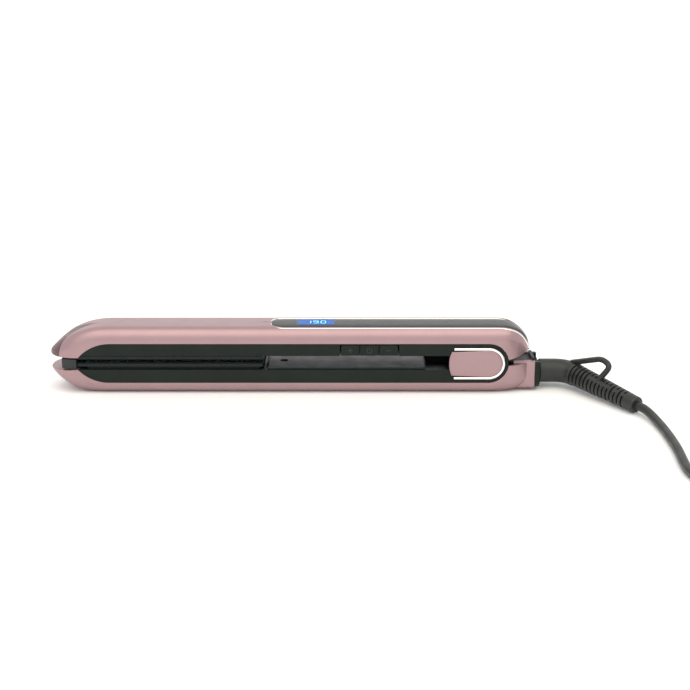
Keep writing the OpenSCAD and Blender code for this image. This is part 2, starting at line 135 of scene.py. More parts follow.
def catmull(points, spacing):
    """A smooth line through the points, with a step of about the spacing."""
    p = [Vector(q) for q in points]
    p = [2 * p[0] - p[1]] + p + [2 * p[-1] - p[-2]]
    line = []
    for k in range(1, len(p) - 2):
        steps = max(1, round((p[k + 1] - p[k]).length / spacing))
        for i in range(steps):
            t = i / steps
            line.append(0.5 * (2 * p[k] + (p[k + 1] - p[k - 1]) * t
                               + (2 * p[k - 1] - 5 * p[k] + 4 * p[k + 1] - p[k + 2]) * t * t
                               + (3 * p[k] - p[k - 1] - 3 * p[k + 1] + p[k + 2]) * t ** 3))
    return line + [p[-2]]


def rounded(points, reach, steps, closed=False):
    """Straight runs between the points, with each corner cut to a curve that starts at reach from it."""
    p = [Vector(q) for q in points]
    line = [] if closed else [p[0]]
    for k in range(0 if closed else 1, len(p) if closed else len(p) - 1):
        before, at, after = p[k - 1], p[k], p[(k + 1) % len(p)]
        a = at + (before - at).normalized() * min(reach, (before - at).length * 0.48)
        b = at + (after - at).normalized() * min(reach, (after - at).length * 0.48)
        for i in range(steps + 1):
            t = i / steps
            line.append(a * (1 - t) ** 2 + at * 2 * t * (1 - t) + b * t * t)
    return line if closed else line + [p[-1]]


def loft(rings, closed=False):
    """Vertices and faces of a skin over the rings, with both ends shut unless the path is closed."""
    n, m = len(rings[0]), len(rings)
    verts = [v for ring in rings for v in ring]
    faces = []
    for k in range(m if closed else m - 1):
        a, b = k * n, (k + 1) % m * n
        faces += [(a + i, a + (i + 1) % n, b + (i + 1) % n, b + i) for i in range(n)]
    if not closed:
        faces += [tuple(range(n - 1, -1, -1)), tuple(range((m - 1) * n, m * n))]
    return verts, faces


def headings(path, closed=False):
    """The direction of travel at each point of a path."""
    n = len(path)
    if closed:
        return [(path[(k + 1) % n] - path[k - 1]).normalized() for k in range(n)]
    return [(path[min(k + 1, n - 1)] - path[max(k - 1, 0)]).normalized() for k in range(n)]


def sweep(path, profile, side=Vector((0, 0, 1)), closed=False):
    """Rings of a profile carried along a path. profile(k) gives (across, along side) pairs."""
    rings = []
    for k, (point, way) in enumerate(zip(path, headings(path, closed))):
        a = way.cross(side).normalized()
        b = a.cross(way)
        rings.append([point + a * u + b * v for u, v in profile(k)])
    return rings


def circle(r, n):
    """Outline of a circle with n points."""
    return [(r * math.cos(2 * math.pi * i / n), r * math.sin(2 * math.pi * i / n)) for i in range(n)]


def soft_box(w, h, r, n=3):
    """Outline of a rectangle w by h with round corners."""
    out = []
    for q, (sx, sy) in enumerate([(1, 1), (-1, 1), (-1, -1), (1, -1)]):
        for i in range(n + 1):
            a = math.pi / 2 * (q + i / n)
            out.append((sx * (w / 2 - r) + r * math.cos(a), sy * (h / 2 - r) + r * math.sin(a)))
    return out


MERGE_M = 0.00001
SHARP = math.radians(38)


def piece(name, shape, body, slot, stands_for=(), ride=True):
    """A named object from (vertices, faces) in millimetres, riding on a body."""
    mesh = bpy.data.meshes.new(name)
    mesh.from_pydata([Vector(v) * MM for v in shape[0]], [], shape[1])
    work = bmesh.new()
    work.from_mesh(mesh)
    bmesh.ops.remove_doubles(work, verts=work.verts, dist=MERGE_M)
    bmesh.ops.recalc_face_normals(work, faces=work.faces)
    work.to_mesh(mesh)
    work.free()
    mesh.polygons.foreach_set("use_smooth", [True] * len(mesh.polygons))
    mesh.set_sharp_from_angle(angle=SHARP)
    obj = bpy.data.objects.new(name, mesh)
    bpy.context.scene.collection.objects.link(obj)
    mesh.materials.append(MATERIAL[slot])
    if ride:
        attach(obj, body)
    if stands_for:
        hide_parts(*stands_for)
    return obj


def soften(obj, width):
    """Rounds an object's sharp edges to a width in millimetres."""
    bevel = obj.modifiers.new("edge", "BEVEL")
    bevel.width = width * MM
    bevel.segments = 2
    bevel.limit_method = "ANGLE"
    bevel.angle_limit = math.radians(40)
    bevel.harden_normals = True


def join(*shapes):
    """Several (vertices, faces) shapes as one."""
    verts, faces = [], []
    for v, f in shapes:
        base = len(verts)
        verts += v
        faces += [tuple(i + base for i in face) for face in f]
    return verts, faces


# ---- materials ----


def material(name, base, rough, metallic=0.0, vary=0.08, patch=60, rough_vary=0.06, grain=2500,
             bump=0.03, coat=0.0, coat_rough=0.1, specular=0.5, glow=None, fleck=0.0, grip=None):
    """A principled surface with patchy colour, uneven gloss and a fine grain, all in object space.

    glow is (colour, colour, strength). fleck mixes in lighter specks. grip is a fine ribbed patch on the
    nose: (its point in x, how fast it widens, pitch of the ribs, lowest z, colour). The colour is partly
    the patch's own darker tint and partly painted shade, laid deeper in the grooves than on the crests."""
    made = bpy.data.materials.new(name)
    made.use_nodes = True
    tree = made.node_tree
    shader = tree.nodes["Principled BSDF"]
    place = tree.nodes.new("ShaderNodeTexCoord").outputs["Object"]

    def noise(scale, detail=3.0):
        """A noise value that changes over 1 / scale metres."""
        node = tree.nodes.new("ShaderNodeTexNoise")
        node.inputs["Scale"].default_value = scale
        node.inputs["Detail"].default_value = detail
        tree.links.new(place, node.inputs["Vector"])
        return node.outputs["Fac"]

    def spread(source, low, high):
        """The middle of a noise's range stretched to low...high."""
        node = tree.nodes.new("ShaderNodeMapRange")
        node.inputs["From Min"].default_value = 0.3
        node.inputs["From Max"].default_value = 0.7
        node.inputs["To Min"].default_value = low
        node.inputs["To Max"].default_value = high
        tree.links.new(source, node.inputs["Value"])
        return node.outputs["Result"]

    def sums(kind, a, b=0.0):
        """One step of arithmetic on sockets or numbers."""
        node = tree.nodes.new("ShaderNodeMath")
        node.operation = kind
        for socket, value in zip(node.inputs, (a, b)):
            if isinstance(value, bpy.types.NodeSocket):
                tree.links.new(value, socket)
            else:
                socket.default_value = value
        return node.outputs[0]

    def mix(factor, dark, light):
        """A colour between two colours, each a socket or three numbers."""
        node = tree.nodes.new("ShaderNodeMix")
        node.data_type = "RGBA"
        tree.links.new(factor, node.inputs["Factor"])
        for socket, colour in ((node.inputs[6], dark), (node.inputs[7], light)):
            if isinstance(colour, bpy.types.NodeSocket):
                tree.links.new(colour, socket)
            else:
                socket.default_value = (*colour, 1)
        return node.outputs[2]

    colour = mix(spread(noise(patch), 0, 1),
                 [c * (1 - vary) for c in base], [c * (1 + vary) for c in base])
    if fleck:
        colour = mix(spread(noise(grain * 1.7, 1), 0, fleck), colour, [min(1, c * 1.7) for c in base])
    shader.inputs["Metallic"].default_value = metallic
    shader.inputs["Specular IOR Level"].default_value = specular
    shader.inputs["Coat Weight"].default_value = coat
    shader.inputs["Coat Roughness"].default_value = coat_rough
    tree.links.new(spread(noise(patch * 2.3), max(0.02, rough - rough_vary), rough + rough_vary),
                   shader.inputs["Roughness"])
    dent = tree.nodes.new("ShaderNodeBump")
    dent.inputs["Strength"].default_value = bump
    dent.inputs["Distance"].default_value = 0.0002
    tree.links.new(noise(grain), dent.inputs["Height"])
    normal = dent.outputs["Normal"]
    if grip:
        point, widen, pitch, above, dark = grip
        axes = tree.nodes.new("ShaderNodeSeparateXYZ")
        tree.links.new(place, axes.inputs[0])
        x, y, z = axes.outputs
        aside = sums("ABSOLUTE", y)
        back = sums("MAXIMUM", sums("SUBTRACT", point * MM, x))
        inside = sums("SUBTRACT", sums("MULTIPLY", sums("MULTIPLY", back, back), widen / MM), aside)
        inside = sums("MULTIPLY", inside, 2 / MM)
        inside.node.use_clamp = True
        inside = sums("MULTIPLY", inside, sums("GREATER_THAN", z, above * MM))
        slanted = sums("ADD", aside, sums("MULTIPLY", x, 0.25))
        wave = sums("SINE", sums("MULTIPLY", slanted, 2 * math.pi / (pitch * MM)))
        wave = sums("MULTIPLY", sums("ADD", sums("MULTIPLY", wave, 0.5), 0.5), inside)
        ribs = tree.nodes.new("ShaderNodeBump")
        ribs.inputs["Strength"].default_value = 0.9
        ribs.inputs["Distance"].default_value = 0.0006
        tree.links.new(wave, ribs.inputs["Height"])
        tree.links.new(normal, ribs.inputs["Normal"])
        normal = ribs.outputs["Normal"]
        # The patch's own darker tint, with the grooves between the ribs painted darker than the crests:
        # painted shade in the grooves
        colour = mix(sums("SUBTRACT", inside, sums("MULTIPLY", wave, 0.4)), colour, dark)
    tree.links.new(normal, shader.inputs["Normal"])
    if glow:
        tree.links.new(mix(spread(noise(patch), 0, 1), glow[0], glow[1]), shader.inputs["Emission Color"])
        shader.inputs["Emission Strength"].default_value = glow[2]
    tree.links.new(colour, shader.inputs["Base Color"])
    return made


MATERIAL = {
    "satin_pink": material("satin_pink", (0.352, 0.231, 0.243), 0.36, 0.8, vary=0.03, rough_vary=0.03,
                           bump=0.05, fleck=0.25, coat=0.2, coat_rough=0.28,
                           # The last entry is the nose patch's own darker tint, which also paints shade
                           # into its grooves
                           grip=(NOSE_X + 34, 0.0176, 1.5, UP_EDGE, (0.09, 0.035, 0.038))),
    "black_plastic": material("black_plastic", (0.0055, 0.0105, 0.0085), 0.4, vary=0.2, bump=0.12,
                              specular=0.22),
    "dark_plastic": material("dark_plastic", (0.012, 0.018, 0.017), 0.5, vary=0.15, bump=0.2),
    "grey_plastic": material("grey_plastic", (0.03, 0.041, 0.044), 0.42, vary=0.15, bump=0.2),
    "steel": material("steel", (0.6, 0.6, 0.62), 0.3, 1.0, rough_vary=0.1),
    "chrome_trim": material("chrome_trim", (0.93, 0.92, 0.9), 0.1, 1.0, vary=0.02, rough_vary=0.05),
    "gloss_black": material("gloss_black", (0.008, 0.009, 0.009), 0.16, vary=0.1, rough_vary=0.04,
                            bump=0.01, specular=0.3),
    "display": material("display", (0.005, 0.05, 0.2), 0.25, vary=0.1, patch=90, bump=0.01, specular=0.1,
                        glow=((0.003, 0.11, 0.5), (0.004, 0.17, 0.55), 0.55)),
    "display_lit": material("display_lit", (0.3, 0.8, 0.95), 0.3, vary=0.05,
                            glow=((0.03, 0.4, 0.75), (0.05, 0.5, 0.85), 0.8)),
    "board": material("board", (0.03, 0.2, 0.08), 0.5, vary=0.15),
    "contacts": material("contacts", (0.8, 0.58, 0.28), 0.3, 1.0),
    "plate_coating": material("plate_coating", (0.007, 0.013, 0.012), 0.26, vary=0.15, bump=0.02,
                              specular=0.25),
    "heater_ceramic": material("heater_ceramic", (0.75, 0.73, 0.66), 0.7, vary=0.05, bump=0.2),
    "carrier_plastic": material("carrier_plastic", (0.02, 0.022, 0.022), 0.6, vary=0.1, bump=0.2),
    "cord_rubber": material("cord_rubber", (0.014, 0.016, 0.014), 0.42, vary=0.25, bump=0.15, grain=1800),
    "tie_plastic": material("tie_plastic", (0.02, 0.02, 0.021), 0.5, vary=0.2, bump=0.3, grain=1200),
    "pin_brass": material("pin_brass", (0.72, 0.69, 0.6), 0.22, 1.0, vary=0.05, rough_vary=0.08),
}
# Every CAD node takes its slot's material, except the lock, which has dark_plastic
for name, node in NODES.items():
    node.data.materials.clear()
    node.data.materials.append(MATERIAL["dark_plastic" if name == "lock_slider" else SLOT_OF[name]])

# ---- camera ----

AIM = Vector((29.85, 0, 25.5))
DISTANCE = 750
ELEVATION = math.radians(17.5)
FOCAL_MM = 65.2
lens = bpy.data.cameras.new("camera")
lens.sensor_width = 36
lens.lens = FOCAL_MM
camera = bpy.data.objects.new("camera", lens)
camera.location = (AIM + DISTANCE * Vector((0, -math.cos(ELEVATION), math.sin(ELEVATION)))) * MM
camera.rotation_euler = (math.pi / 2 - ELEVATION, 0, 0)
bpy.context.scene.collection.objects.link(camera)
bpy.context.scene.camera = camera

# ---- cord ----

# From the boot's tip along the table to the coil, and from the coil to the plug
CORD_PATH = [(195.7, -49.4, 5.2), (198.8, -54.2, 4.7), (201.2, -61, 3.7), (202.8, -70, 2.9),
             (203.7, -80, 2.6), (204, -91, 2.6), (204, -103, 2.6), (203.4, -115, 2.6),
             (202.5, -126, 2.6), (202.4, -136, 2.6), (204.2, -146, 2.7), (207, -152.5, 3),
             (209.2, -156.3, 3.2)]
TAIL_PATH = [(275.6, -134, 15.4), (277.4, -124, 11.6), (278.3, -114, 8.4), (278, -105, 7.2),
             (277, -97, 6.9), (276.4, -90, 6.85), (276, -84, 6.85)]
CORD_STEP = 4
FIRST_LAYER = COIL_BASE + CORD_R
LAYER_RISE = 4.4
# Radius and layer of each turn of the coil, in the order they are wound
TURNS = [(35, 0), (30, 0), (25, 0), (20, 0), (22.5, 1), (27.5, 1), (32.5, 1), (30, 2), (25, 2),
         (27.5, 3)]
COIL_START_DEG = 203
POINTS_PER_TURN = 36
POINTS_IN_LAST_TURN = 18
SHIFT = 0.2


def coil_points():
    """The wound part: each turn keeps its radius until the last fifth, where it moves over to the next."""
    last = len(TURNS) - 1
    points = []
    for k, (r, layer) in enumerate(TURNS):
        steps = POINTS_PER_TURN if k < last else POINTS_IN_LAST_TURN
        for i in range(steps):
            part = i / POINTS_PER_TURN
            over = 0 if k == last else smooth((part - 1 + SHIFT) / SHIFT)
            r_next, layer_next = TURNS[min(k + 1, last)]
            radius = r + (r_next - r) * over
            z = FIRST_LAYER + LAYER_RISE * (layer + (layer_next - layer) * over)
            a = math.radians(COIL_START_DEG + 360 * part)
            points.append(COIL + Vector((radius * math.cos(a), radius * math.sin(a), z)))
    return points


cord_centre = catmull([*CORD_PATH, *coil_points(), *TAIL_PATH], CORD_STEP)
cord = piece("power_cord", loft(sweep(cord_centre, lambda k: circle(CORD_R, 12))), "lower_arm",
             "cord_rubber", ["cord_run", "cord_coil", "cord_tail"], ride=False)
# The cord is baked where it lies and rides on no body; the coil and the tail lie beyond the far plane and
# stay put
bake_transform(cord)

# ---- boot, loop, plug and tie on the cord ----

RIB_START, RIB_PITCH, RIB_GAP = 8.6, 2.95, 1.25
# (distance into the slot, depth) across a slot; depth 1 is right down to the core
SLOT_STEPS = ((0, 0), (0.12, 0.25), (0.2, 1), (RIB_GAP - 0.2, 1), (RIB_GAP - 0.12, 0.25), (RIB_GAP, 0))
CORE_R, CORE_TAPER = 4.1, 0.06
# Two bridges cross each slot, opposite each other: at BRIDGE_AT, or a quarter turn on where marked x
BRIDGES = "xxxxx------x-x-"
BRIDGE_AT = math.radians(52)
BRIDGE_HALF = math.radians(15)
STUB_R, BOOT_TIP_R = 7.1, 4.7
BEND_L, BEND_STEPS = 8, 12
BOOT_POINTS = 64


def boot_rings():
    """Round rings along the stub, the bend and the tapered boot, pulled in at each slot."""
    start = Vector((END_X + 0.6, 0, SWIVEL_Z))
    straight = start.lerp(ELBOW, 0.5)
    bend_end = ELBOW + BOOT_DIR * BEND_L
    stops = [(start, STUB_R - 0.5, 0), (start + Vector((0.5, 0, 0)), STUB_R, 0), (straight, STUB_R, 0)]
    for i in range(1, BEND_STEPS + 1):
        t = i / BEND_STEPS
        at = straight * (1 - t) ** 2 + ELBOW * 2 * t * (1 - t) + bend_end * t * t
        stops.append((at, STUB_R - 0.1 * t, 0))
    for i, turned in enumerate(BRIDGES):
        at = RIB_START + RIB_PITCH * i
        for along, slot in SLOT_STEPS:
            outer = STUB_R + (BOOT_TIP_R - STUB_R) * (at + along) / BOOT_L
            inner = CORE_R - CORE_TAPER * i if slot == 1 else outer - slot
            stops.append((ELBOW + BOOT_DIR * (at + along), outer, (turned == "x", inner) if slot else 0))
    for along, r in ((BOOT_L - 2.2, 4.8), (BOOT_L - 0.6, 4.7), (BOOT_L - 0.15, 4.4), (BOOT_L, 3.9)):
        stops.append((ELBOW + BOOT_DIR * along, r, 0))

    def profile(k):
        outer, slot = stops[k][1:]
        out = []
        for j in range(BOOT_POINTS):
            a = 2 * math.pi * j / BOOT_POINTS
            r = outer
            if slot:
                turned, inner = slot
                off = (a - BRIDGE_AT - (math.pi / 2 if turned else 0)) % math.pi
                if min(off, math.pi - off) > BRIDGE_HALF:
                    r = inner
            out.append((r * math.cos(a), r * math.sin(a)))
        return out
    return sweep([stop[0] for stop in stops], profile)


boot = piece("cord_boot_ribbed", loft(boot_rings()), "cord_swivel", "cord_rubber", ["cord_boot"])

LOOP_POINTS = [(ELBOW_X + 2.5, -3, 15.5), (ELBOW_X + 16.5, -22, 24), (ELBOW_X + 20, -30, 22),
               (ELBOW_X + 14.8, -25.5, 12.5)]
LOOP_R = 1.7
LOOP_CORNER = 4.2
LOOP_SIDE = Vector((0.83, 0.54, 0))
loop_rings = sweep(rounded(LOOP_POINTS, LOOP_CORNER, 10), lambda k: circle(LOOP_R, 16), side=LOOP_SIDE)
loop = piece("hang_loop", loft(loop_rings), "cord_swivel", "cord_rubber", ["hanging_loop"])

PLUG = Vector(TAIL_PATH[-1])
# (distance from the cord, half-width, half-height) along the plug
PLUG_STEPS = ((0, 3.1, 3.1), (0.3, 3.6, 3.6), (8, 4.4, 4.2), (14, 5.6, 4.9), (18, 8, 5.8),
              (23, 12.5, 6.5), (28.5, 16.4, 6.8), (33, 17.5, 6.85), (38, 17.4, 6.85), (42, 15.6, 6.8),
              (45, 13.9, 6.7), (47, 13.2, 6.5), (47.8, 12.6, 6.1), (48, 11.8, 5.4))


def plug_rings():
    """Rounded flat rings from the cord's collar out to the plug's wide middle and its narrower face."""
    rings = []
    for y, w, h in PLUG_STEPS:
        p = 2 + 1.6 * smooth((y - 10) / 15)
        ring = []
        for j in range(48):
            a = 2 * math.pi * j / 48
            c, s = math.cos(a), math.sin(a)
            ring.append(PLUG + Vector((w * math.copysign(abs(c) ** (2 / p), c), y,
                                       h * math.copysign(abs(s) ** (2 / p), s))))
        rings.append(ring)
    return rings


def grip_ridges():
    """Thin raised bars across the top and bottom of the plug's neck."""
    size = [0.1, 0.5, 0.55, 0.5, 0.1]

    def profile(i):
        return [(u * size[i] * 1.3, v * size[i]) for u, v in circle(1, 10)]

    shapes = []
    for y in (24, 27, 30, 33, 36):
        for up in (-1, 1):
            height = up * (6.0 if y < 28 else 6.3)
            path = [PLUG + Vector((x, y, height)) for x in (-7, -6.6, 0, 6.6, 7)]
            shapes.append(loft(sweep(path, profile)))
    return join(*shapes)


plug = piece("mains_plug", join(loft(plug_rings()), grip_ridges()), "lower_arm", "cord_rubber",
             ["plug_body"])


def lathe(at, stops):
    """A turned shape along +Y from (distance, radius) stops."""
    return loft([[at + Vector((u, y, v)) for u, v in circle(r, 28)] for y, r in stops])


PIN_SPREAD = 9.3
PIN_Y = 47
PIN_STOPS = ((10, 1.98), (18.2, 1.98), (19.2, 1.8), (19.8, 1.35), (20, 0.7))
SLEEVE_STOPS = ((0, 2.0), (10.6, 1.99), (10.9, 1.8))
pin_ends = [PLUG + Vector((s * PIN_SPREAD, PIN_Y, 0)) for s in (-1, 1)]
pins = piece("plug_prongs", join(*[lathe(end, PIN_STOPS) for end in pin_ends]), "lower_arm",
             "pin_brass", ["plug_pins"])
sleeves = piece("plug_sleeves", join(*[lathe(end, SLEEVE_STOPS) for end in pin_ends]), "lower_arm",
                "cord_rubber")

TIE_AT = math.radians(120)


def tie_shape():
    """A strap round the coil's cross-section."""
    around = [(16.9, 0.5, 0), (38.1, 0.5, 0), (38.1, 6.0, 0), (30.9, 19.0, 0), (24.3, 19.0, 0),
              (16.9, 6.0, 0)]
    out = Vector((math.cos(TIE_AT), math.sin(TIE_AT), 0))
    path = [COIL + out * q.x + Vector((0, 0, q.y)) for q in rounded(around, 3, 6, closed=True)]
    tangent = Vector((-out.y, out.x, 0))
    return loft(sweep(path, lambda k: soft_box(0.8, 10, 0.3), side=tangent, closed=True), closed=True)


tie = piece("cord_strap", tie_shape(), "lower_arm", "tie_plastic", ["cord_tie"])

# ---- outlines of the arms, with x = 0 between the nose and the tail ----

# Top view: how far the rounding reaches in from the nose's tip, and its radius
NOSE_TURN, NOSE_ROUND = 16.5, 16.8
# Side view: length and depth of the slope that each arm's outside takes towards the nose's tip
UP_SLOPE_L, UP_SLOPE_H = 38, 15.8
LOW_SLOPE_L, LOW_SLOPE_H = 28, 12.9
# The lower arm's outside rises slightly behind the hinge
LOW_RISE_START, LOW_RISE_L, LOW_RISE_H = 2.3, 12, 1.2
# Top view: where each arm's tail starts to round in, behind TAIL_X, and over what length
UP_TAIL_START, UP_TAIL_L = 2, 20.6
LOW_TAIL_L = 26.5
# Side view: heights of the rims behind the window
UP_RIM_START, UP_RIM_LOW, UP_RIM_HIGH = 6.5, 20.4, 24.6
LOW_RIM = 17.2
# The panel's tail: length of its rounding, least share of its width and room left beside it
PANEL_TURN_L, PANEL_LEAST, PANEL_ROOM = 17.5, 0.36, 0.25


def round_in(u, p):
    """Height of a rounded end, from 1 at u = 0 to 0 at u = 1; a higher power p is squarer."""
    return math.sqrt(max(0.0, 1 - min(1.0, max(0.0, u)) ** p))


def nose_half(x):
    """Half-width near the nose, the same for both arms."""
    return HALF_W * round_in((NOSE_X + NOSE_TURN - x) / NOSE_ROUND, 2)


def up_half(x):
    return nose_half(x) if x < 0 else HALF_W * round_in((x - TAIL_X - UP_TAIL_START) / UP_TAIL_L, 2.2)


def low_half(x):
    return nose_half(x) if x < 0 else HALF_W * round_in((x - TAIL_X) / LOW_TAIL_L, 2.4)


def up_crown(x):
    """Top of the upper arm along its middle."""
    if x < 0:
        return BODY_H - UP_SLOPE_H * (max(0, NOSE_X + UP_SLOPE_L - x) / UP_SLOPE_L) ** 2.5
    return TAIL_Z + TAIL_RZ * round_in((x - TAIL_X) / TAIL_RX, 3)


def low_crown(x):
    """Underside of the lower arm along its middle."""
    if x < 0:
        return LOW_SLOPE_H * (max(0, NOSE_X + LOW_SLOPE_L - x) / LOW_SLOPE_L) ** 2.1
    return LOW_RISE_H * (max(0, x - TAIL_X - LOW_RISE_START) / LOW_RISE_L) ** 2


def over(centre, radius, x):
    """Height of a circle's edge above its centre line at x."""
    return math.sqrt(max(0.0, radius ** 2 - (x - centre) ** 2))


def up_edge(x):
    """Lowest edge of the upper skin: the rim at both ends and the window's edge between them."""
    past = max(0, x - TAIL_X - UP_RIM_START)
    rim = UP_EDGE if x < 0 else min(UP_RIM_HIGH, UP_RIM_LOW + 0.16 * past + 0.011 * past ** 2)
    if x < WIN_TIP_X or x > HINGE_X + WINDOW_R:
        return rim
    if x < UP_ARC_X:
        return max(rim, WIN_TOP - UP_ARC_R + over(UP_ARC_X, UP_ARC_R, x))
    return WIN_TOP if x < HINGE_X else max(rim, HINGE_Z + over(HINGE_X, WINDOW_R, x))


def low_edge(x):
    """Highest edge of the lower skin, in the same way."""
    if x < 0:
        rim = LOW_EDGE - math.sin(math.pi / 2 * min(1, max(0, WIN_TIP_X - x) / (WIN_TIP_X - NOSE_X)))
    else:
        rim = LOW_RIM + max(0, x - TAIL_X - TAIL_SOLID) * 0.1
    if x < WIN_TIP_X or x > HINGE_X + WINDOW_R:
        return rim
    if x < LOW_ARC_X:
        return min(rim, WIN_LOW + LOW_ARC_R - over(LOW_ARC_X, LOW_ARC_R, x))
    return WIN_LOW if x < HINGE_X else min(rim, HINGE_Z - over(HINGE_X, WINDOW_R, x))


def stations(extra):
    """Places along the arms, close together where the outline or the window turns."""
    xs = [NOSE_X + UP_SLOPE_L * (1 - math.cos(a)) for a in quarter_turn(22)]
    xs += [UP_ARC_X + (WIN_TIP_X - UP_ARC_X) * math.sin(a) for a in quarter_turn(14)]
    xs += [WIN_TIP_X - 0.02, WIN_TIP_X + 0.02]
    xs += [HINGE_X + WINDOW_R * math.sin(a) for a in quarter_turn(14)]
    xs += [-100 + 10 * i for i in range(21)] + extra
    kept = []
    for x in sorted(xs):
        if not kept or x - kept[-1] > 0.03:
            kept.append(x)
    return kept


def panel_half(x):
    """Half-width of the black panel: round at its front and drawn in at the tail."""
    if x < PANEL_FRONT_X:
        into = min(1, (PANEL_FRONT_X - x) / PANEL_HALF)
        return PANEL_HALF * (1 - into ** PANEL_FRONT_POWER) ** (1 / PANEL_FRONT_POWER)
    if x < TAIL_X + PANEL_NARROWS:
        return PANEL_HALF
    turn = math.asin(min(1, (x - TAIL_X - PANEL_NARROWS) / PANEL_TURN_L))
    return min(PANEL_HALF * max(PANEL_LEAST, math.cos(turn)), up_half(x) - PANEL_ROOM)


def corners(hw, height):
    """Radii across and up of the rounding between the side and the crown."""
    return min(CORNER, 0.75 * hw), min(CORNER, 0.85 * abs(height))


def half_profile(hw, edge, crown, ledge):
    """(y, z) points from the side's edge, round the corner and in to y = ledge.

    All profiles have the same number of points, wherever the ledge is."""
    sign = 1 if crown > edge else -1
    ry, rz = corners(hw, crown - edge)
    out = [(hw, edge)]
    past = hw - ry
    top = math.pi / 2 if ledge <= past else math.acos(max(0.0, (ledge - past) / ry))
    count = CORNER_STEPS if ledge <= past else CORNER_STEPS + 1
    for i in range(count + 1):
        a = top * i / count
        out.append((past + ry * math.cos(a), crown - sign * rz * (1 - math.sin(a))))
    if ledge <= past:
        out.append((ledge, crown))
    return out


def ring_of(x, outer, inner):
    """A closed ring from half profiles of the outside and the inside."""
    outside = [(x, y, z) for y, z in outer] + [(x, -y, z) for y, z in reversed(outer)]
    inside = [(x, -y, z) for y, z in inner] + [(x, y, z) for y, z in reversed(inner)]
    return [Vector(p) for p in outside + inside]


def crown_normal(x):
    """Direction out of the crown in the side view."""
    if x < TAIL_X:
        return Vector((0, 0, 1))
    fall = (up_crown(x - 0.05) - up_crown(x + 0.05)) / 0.1
    return Vector((fall, 0, 1)).normalized()


def upper_skin():
    """The upper arm's wall, solid at both ends, with a recess for the panel."""
    rings = []
    front = PANEL_FRONT_X - PANEL_HALF
    tail = [TAIL_X + TAIL_REACH * math.sin(a) for a in quarter_turn(22)]
    tail_start = TAIL_X + TAIL_SOLID
    extra = tail + [front, WIN_TIP_X + 0.1, tail_start - 0.05, tail_start + 0.05]
    extra += [PANEL_FRONT_X - PANEL_HALF * math.cos(a) ** 0.8 for a in quarter_turn(12)[1:]]
    for x in stations(extra):
        if x > tail[-1] + 0.01:
            continue
        hw, crown, edge = up_half(x), up_crown(x), up_edge(x)
        ledge = max(0.3, panel_half(x)) if x >= front else 0.3
        outer = half_profile(hw, edge, crown, ledge)
        under = crown - SKIN - (PANEL_SINK if x > front else 0)
        solid = x <= WIN_TIP_X or x >= tail_start
        inner_crown = edge + 0.02 if solid else max(edge + 0.3, under)
        inner = half_profile(max(0.6, hw - SKIN), edge, inner_crown, 0.2)
        ring = ring_of(x, outer, inner)
        # Two more points make the floor of the panel's recess; ahead of the panel they add no depth
        down = crown_normal(x) * (-PANEL_SINK if x >= front else 0)
        middle = len(outer)
        floor = [ring[middle - 1] + down, ring[middle] + down]
        rings.append(ring[:middle] + floor + ring[middle:])
    return loft(rings)


def lower_skin():
    """The lower arm's wall, solid at the nose."""
    tail = [TAIL_X + 24 * math.sin(a) for a in quarter_turn(22)]
    rings = []
    for x in stations(tail):
        if x > tail[-1] + 0.01:
            continue
        hw, crown, edge = low_half(x), low_crown(x), low_edge(x)
        solid = x <= WIN_TIP_X
        inner_crown = edge - 0.02 if solid else min(edge - 0.3, crown + SKIN)
        outer = half_profile(hw, edge, crown, 0.3)
        rings.append(ring_of(x, outer, half_profile(max(0.6, hw - SKIN), edge, inner_crown, 0.2)))
    return loft(rings)


def collar_shape():
    """The squared collar round the swivel, open on top where the lock slides."""
    top, low, half, r = 18.7, 1.5, 11, 2.5
    # (distance from the end, half-width of the opening, its floor, how far the outside is drawn in)
    stops = ((16, 8, 3, 0.0), (4.3, 8, 3, 0.0), (4.2, 7.4, 15.9, 0.0), (3.4, 7.4, 15.9, 0.0),
             (3, 7.4, 15.9, 0.4))
    rings = []
    for before, inner_half, floor, inset in stops:
        w, b, t = half - inset, low + inset, top - inset
        outer = [(w, t)] + [(w - r * (1 - math.cos(a)), b + r * (1 - math.sin(a)))
                            for a in quarter_turn(6)]
        inner = [(inner_half, t), (inner_half, floor)]
        rings.append(ring_of(END_X - before, outer, inner))
    return loft(rings)


piece("upper_skin", upper_skin(), "upper_arm", "satin_pink", ["upper_shell"])
piece("lower_skin", join(lower_skin(), collar_shape()), "lower_arm", "satin_pink", ["lower_shell"])

# ---- black panel with its bright trim and the display ----


def panel_stations():
    """Places along the panel, close together round its front and its tail."""
    xs = [PANEL_FRONT_X - PANEL_HALF * max(0, math.cos(a)) ** 0.6 for a in quarter_turn(20)]
    xs += [PANEL_FRONT_X + (TAIL_X - PANEL_FRONT_X) * i / 12 for i in range(1, 12)]
    return xs + [TAIL_X + TAIL_REACH * math.sin(a) for a in quarter_turn(24)]


def crown_point(x, y, lift):
    """A point on the upper arm's outside, lifted off it."""
    hw, crown = up_half(x), up_crown(x)
    ry, rz = corners(hw, crown - up_edge(x))
    drop = rz * (1 - round_in(max(0.0, abs(y) - (hw - ry)) / ry, 2))
    return Vector((x, y, crown - drop)) + crown_normal(x) * lift


PANEL_ACROSS = 14
PANEL_THICK = 0.9


def panel_shape():
    """A cambered strip that stays just below the skin and dips towards its edges."""
    rings = []
    for x in panel_stations():
        half = max(0.05, panel_half(x) - 0.3)
        top = [crown_point(x, half * u, -0.15 - 0.75 * abs(u) ** 4) for u in
               [math.sin(math.pi / 2 * (1 - 2 * i / PANEL_ACROSS)) for i in range(PANEL_ACROSS + 1)]]
        under = [p + crown_normal(x) * -PANEL_THICK for p in reversed(top)]
        rings.append(top + under)
    return loft(rings)


piece("panel_gloss", panel_shape(), "upper_arm", "gloss_black", ["top_panel"])

BEAD_OUT, BEAD_LIFT = 0.65, -0.66
BEAD_WIDE, BEAD_HIGH = 0.95, 0.62


